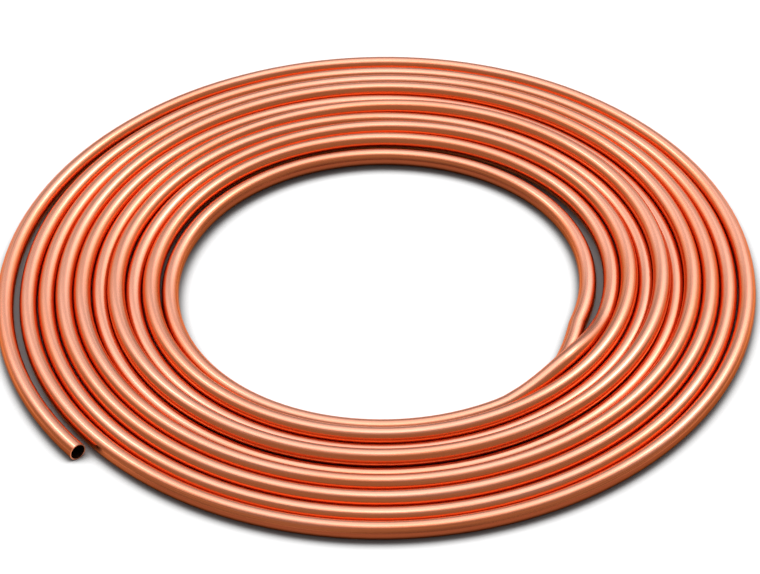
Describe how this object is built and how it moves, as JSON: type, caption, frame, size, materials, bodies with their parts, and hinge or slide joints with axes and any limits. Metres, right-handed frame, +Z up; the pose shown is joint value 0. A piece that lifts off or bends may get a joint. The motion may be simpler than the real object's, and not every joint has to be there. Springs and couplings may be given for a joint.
{
  "type": "copper tube coil",
  "caption": "Flat spiral coil of soft round copper tube, lying on the floor, with both cut ends open.",
  "frame": {"origin": "on the floor, under the middle of the coil's box", "axes": "+Z up, along the axis of the coil; the tube's free outer end, on the -X side, points along -Y"},
  "size_m": [0.69, 0.6794, 0.0295],
  "materials": {
    "copper": "bright drawn"
  },
  "bodies": {
    "root": {"copper_tube": "copper"}
  },
  "joints": []
}
